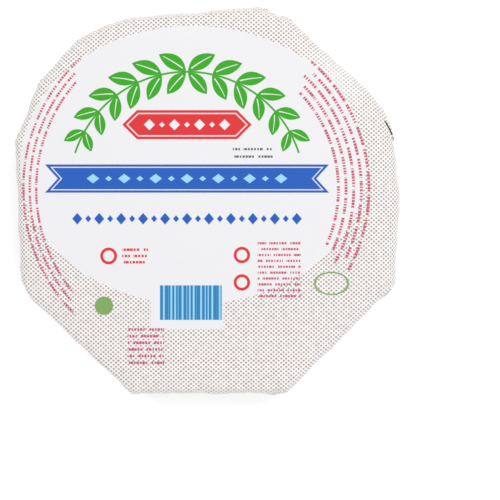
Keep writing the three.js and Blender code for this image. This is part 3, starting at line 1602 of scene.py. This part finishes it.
@dataclass
class Pleat:
    """Spare paper at a corner, folded double and laid back on the wall.

    Attributes:
        form: the paper's shape.
        surface: the paper's outer face.
        places: the flat sheet's places of the side after the corner.
        index: the side that the corner ends.
        fold: the pleat's number at its corner.
        thickness: the two layers together.
        steps: how many points it has across.
        sink: how far its root lies inside the wall.
        bed: how far its outer face lies off the wall, as a share of its thickness.
        hem: its thickness at the root, as a share of the whole.
        curl: how its edge curls off the wall on the way down, as a share of half a turn.
        ease: the shares of its width over which it rises from its root.
        emerge: the depths over which it comes out of the shoulder.
        ground: the heights over which its edge comes free of the floor.
        narrowest: the least width that is made.
    """

    form: PaperForm
    surface: Surface
    places: np.ndarray
    index: int
    fold: int
    thickness: float = 0.34
    steps: int = 16
    sink: float = 0.25
    bed: float = 1.15
    hem: float = 0.3
    curl: float = 0.62
    ease: Pair = (0.0, 0.3)
    emerge: Pair = (0.0, 8.0)
    ground: Pair = (1.5, 7.0)
    narrowest: float = 0.25

    @property
    def side(self) -> FlatSide:
        """The side that the corner ends."""
        return self.form.sides[self.index]

    def root(self) -> int:
        """Give the pleat's first column, counted from the start of the corner."""
        return round(self.form.corner_steps * self.fold / self.side.folds)

    def widths(self, depth: np.ndarray) -> np.ndarray:
        """Give the pleat's width at each row.

        Args:
            depth: each row's distance down from the edge of the top.

        Returns:
            The widths.
        """
        return depth * (math.tan(self.form.corner(self.index).turn / 2.0) / self.side.folds)

    def lifts(self, depth: np.ndarray) -> np.ndarray:
        """Give how far the folded edge stands off the wall at each row.

        Args:
            depth: each row's distance down from the edge of the top.

        Returns:
            The distances.
        """
        share = depth / depth.max()
        return min(self.side.lift, 1.0) * share * np.sin(share * math.pi * self.curl)

    def build(self, paper: bpy.types.Material) -> bpy.types.Object:
        """Make the pleat and dress it.

        Args:
            paper: its material.

        Returns:
            The piece.
        """
        form = self.form
        ring = self.surface.ring
        section = self.surface.section
        root = self.root()
        column = ((self.index + 1) * ring.per_side + root) % len(ring.rim)
        rows = slice(section.foot + 1, section.crown - 1)
        run = run_down(step_lengths(self.surface.points[column]))
        depth = (run - run[section.crown - 1])[rows]
        width = self.widths(depth)
        across = np.linspace(0.0, 1.0, self.steps)
        back = across[None, :] * width[:, None]
        along = ring.along[column] - back
        wall = self.follow(self.surface.points[:, rows], along)
        normals = self.follow(self.surface.normals[:, rows], along)
        ease = smooth(*self.ease, across)[None, :]
        emerge = smooth(*self.emerge, depth)[:, None]
        lift = self.lifts(depth)[:, None] * smooth(*self.ground, wall[..., 2])
        rise = ease * emerge * (self.sink + self.thickness * self.bed)
        off = rise - self.sink + lift * across**2
        outer = move_out(wall, normals, off)
        inner = move_out(wall, normals, off - self.thickness * (self.hem + (1.0 - self.hem) * ease))
        after = form.sides[(self.index + 1) % len(form.sides)]
        onward = quarter_turn(form.panel_vector(after.panel))
        flat = self.places[root, rows][:, None, :] - onward * back[..., None]
        keep = width > self.narrowest
        grids = (outer[keep, ::-1], inner[keep, ::-1], flat[keep, ::-1])
        return thin_sheet(f"pleat_{self.index}_{self.fold}", *grids, paper)

    def follow(self, grid: np.ndarray, along: np.ndarray) -> np.ndarray:
        """Read a grid of the paper's face at distances round the outline.

        Args:
            grid: a value for each column and row.
            along: for each row, the distances round the outline.

        Returns:
            The values there.
        """
        ring = self.surface.ring
        where = np.mod(along, ring.length)
        before = np.searchsorted(ring.along, where, side="right") - 1
        after = (before + 1) % len(ring.along)
        gap = np.mod(ring.along[after] - ring.along[before], ring.length)
        share = ((where - ring.along[before]) / gap)[..., None]
        row = np.arange(grid.shape[1])[:, None]
        return grid[before, row] * (1.0 - share) + grid[after, row] * share


@dataclass
class OpenPleat(Pleat):
    """A loose pleat whose upper edge stands open, so that a dark pocket shows from above.

    Attributes:
        pocket: the pleat's mouth.
        creep: how much wider it grows for each step down.
        gape: how far its upper edge stands off the wall.
    """

    pocket: Pocket = POCKET
    creep: float = 0.1
    gape: float = 0.15

    def root(self) -> int:
        """Give the pleat's first column, counted from the start of the corner."""
        return round(self.form.corner_steps * self.pocket.share)

    def widths(self, depth: np.ndarray) -> np.ndarray:
        """Give the pleat's width at each row: wide from the mouth down."""
        down = np.maximum(depth - self.pocket.start, 0.0)
        return np.minimum(down * self.pocket.flare, self.pocket.reach + down * self.creep)

    def lifts(self, depth: np.ndarray) -> np.ndarray:
        """Give how far the upper edge stands off the wall at each row."""
        return np.full_like(depth, self.gape)


@dataclass
class BaseFlap:
    """One of the sheet's four points, folded in under the wheel.

    Attributes:
        form: the paper's shape.
        surface: the paper's outer face.
        places: the flat sheet's places of the side that carries it.
        index: the side that carries it.
        spread: half the angle that it covers, in degrees.
        thickness: the paper's thickness.
        steps: how many points it has from its tip outward.
        tip: how far past the middle its tip reaches.
        blunt: how blunt the tip is, as a share of the flap's length.
        drop: how far its first edge lies below the paper.
        lap: how much lower its last edge lies.
        tuck: the shares of its length over which it turns up into the foot.
        tuck_rise: how far into the foot it turns up.
    """

    form: PaperForm
    surface: Surface
    places: np.ndarray
    index: int
    spread: float = 47.5
    thickness: float = 0.2
    steps: int = 26
    tip: float = 1.5
    blunt: float = 0.02
    drop: float = 0.18
    lap: float = 0.5
    tuck: Pair = (0.93, 1.0)
    tuck_rise: float = 0.35

    def build(self, paper: bpy.types.Material) -> bpy.types.Object:
        """Make the flap and dress it.

        Args:
            paper: its material.

        Returns:
            The piece.
        """
        form = self.form
        outward = form.normal(self.index)
        onward = quarter_turn(outward)
        foot = self.surface.section.foot
        edge = self.surface.points[:, foot + 1, :2]
        turn = np.degrees(np.arctan2(edge @ onward, edge @ outward))
        order = np.argsort(turn)
        order = order[np.abs(turn[order]) < self.spread]
        rim = edge[order]
        under = (turn[order] + self.spread) / (2.0 * self.spread)
        tip = -self.tip * outward
        out = np.linspace(self.blunt, 1.0, self.steps)
        plan = tip + (rim - tip)[None, :, :] * out[:, None, None]
        level = form.rest - self.drop - self.lap * under
        tuck = smooth(*self.tuck, out)[:, None]
        height = level[None, :] + (form.rest + self.tuck_rise - level)[None, :] * tuck
        lower = np.concatenate((plan, (height - self.thickness)[..., None]), axis=-1)
        upper = np.concatenate((plan, height[..., None]), axis=-1)
        middle = self.places.shape[0] // 2
        start = self.places[middle, foot]
        seam = self.surface.points[self.index * self.surface.ring.per_side + middle, foot, :2]
        run = start @ outward + (seam @ outward - plan @ outward)
        flat = (plan @ onward)[..., None] * onward + run[..., None] * outward
        return thin_sheet(f"base_flap_{self.index}", lower, upper, flat, paper)


@dataclass(frozen=True)
class FloorFinish:
    """The plain pale floor's finish.

    Attributes:
        name: the material's name.
        colour: its colour.
        roughness: how matt it is.
        glow: how much light it gives of its own.
    """

    name: str = "pale_floor"
    colour: tuple[float, float, float, float] = (0.96, 0.96, 0.96, 1.0)
    roughness: float = 0.9
    glow: float = 0.2

    def material(self) -> bpy.types.Material:
        """Make the material.

        Returns:
            The material.
        """
        material = bpy.data.materials.new(self.name)
        graph = Graph(material)
        sockets = {
            "Base Color": self.colour,
            "Roughness": self.roughness,
            "Emission Color": self.colour,
            "Emission Strength": self.glow,
        }
        shader = graph.node("ShaderNodeBsdfPrincipled", None, sockets)
        graph.node("ShaderNodeOutputMaterial", None, {0: shader.outputs[0]})
        return material


@dataclass(frozen=True)
class Lamp:
    """One soft light.

    Attributes:
        name: its name.
        place: where it hangs, in metres.
        size: its width, in metres.
        power: its power, in watts.
    """

    name: str
    place: tuple[float, float, float]
    size: float
    power: float

    def hang(self) -> bpy.types.Object:
        """Hang the light so that it shines on the origin.

        Returns:
            The lamp.
        """
        light = bpy.data.lights.new(self.name, "AREA")
        light.shape = "DISK"
        light.size = self.size
        light.energy = self.power
        lamp = bpy.data.objects.new(self.name, light)
        bpy.context.scene.collection.objects.link(lamp)
        lamp.location = self.place
        lamp.rotation_euler = (-lamp.location).to_track_quat("-Z", "Y").to_euler()
        return lamp


@dataclass(frozen=True)
class Studio:
    """The floor, lights and camera.

    Attributes:
        floor_size: the floor's width, in metres.
        sky: the strength of the even light from all round.
        lens: the camera's focal length.
        sensor: the width of its sensor.
        field_width: the width of what the camera sees.
        field_height: the height at which it sees that width.
        view_middle: the middle of what it sees, from the middle of the cheese.
        lamps: the soft lights.
    """

    floor_size: float = 8.0
    sky: float = 0.67
    lens: float = 85.0
    sensor: float = 36.0
    field_width: float = 258.5
    field_height: float = 24.0
    view_middle: Pair = (21.14, -24.95)
    lamps: tuple[Lamp, ...] = (
        Lamp("key", (0.75, 0.85, 1.6), 1.1, 11.5),
        Lamp("left_fill", (-0.95, 0.75, 1.5), 1.1, 5.5),
        Lamp("right_fill", (0.75, -0.95, 1.5), 1.1, 6.0),
    )

    def build(self) -> None:
        """Set up the floor, lights and camera."""
        half = self.floor_size / 2.0
        mesh = bpy.data.meshes.new("floor")
        corners = [(-half, -half, 0.0), (half, -half, 0.0), (half, half, 0.0), (-half, half, 0.0)]
        mesh.from_pydata(corners, [], [(0, 1, 2, 3)])
        floor = bpy.data.objects.new("floor", mesh)
        bpy.context.scene.collection.objects.link(floor)
        floor.data.materials.append(FloorFinish().material())
        for lamp in self.lamps:
            lamp.hang()
        world = bpy.data.worlds.new("studio")
        world.use_nodes = True
        back = world.node_tree.nodes["Background"]
        back.inputs[0].default_value = (1.0, 1.0, 1.0, 1.0)
        back.inputs[1].default_value = self.sky
        bpy.context.scene.world = world
        bpy.context.scene.view_settings.view_transform = "Standard"
        self.aim()

    def aim(self) -> None:
        """Hang the camera straight above, with the print's top at the top of the picture."""
        view = bpy.data.cameras.new("camera")
        view.lens = self.lens
        view.sensor_width = self.sensor
        camera = bpy.data.objects.new("camera", view)
        bpy.context.scene.collection.objects.link(camera)
        rise = self.field_width * self.lens / self.sensor
        across = self.view_middle[0] - OUTLINE_MIDDLE[0]
        up = self.view_middle[1] - OUTLINE_MIDDLE[1]
        camera.location = (across * METRES, up * METRES, (self.field_height + rise) * METRES)
        bpy.context.scene.camera = camera


def seat(piece: bpy.types.Object) -> None:
    """Make a piece of paper part of the wheel.

    Args:
        piece: the piece, which takes the place of the solid wheel.
    """
    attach(piece, BODY)
    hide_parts(NODE)
    LOG.info("%s: %d faces", piece.name, len(piece.data.polygons))


def main() -> None:
    """Build the wrapped wheel and its studio."""
    logging.basicConfig(level=logging.INFO, format="%(name)s: %(message)s")
    form = PaperForm()
    surface = lay_surface(form)
    paper = PrintedPaper().material()
    wrapper = Wrapper(form, push_in(surface, form, POCKET))
    seat(wrapper.build(paper))
    for index, side in enumerate(form.sides):
        after = wrapper.places[(index + 1) % len(form.sides)]
        for fold in range(side.folds):
            kind = OpenPleat if (index, fold) == (POCKET.side, POCKET.fold) else Pleat
            seat(kind(form, surface, after, index, fold).build(paper))
    for index, side in enumerate(form.sides):
        if side.panel in FLAP_PANELS:
            seat(BaseFlap(form, surface, wrapper.places[index], index).build(paper))
    Studio().build()


if __name__ == "__main__":
    main()
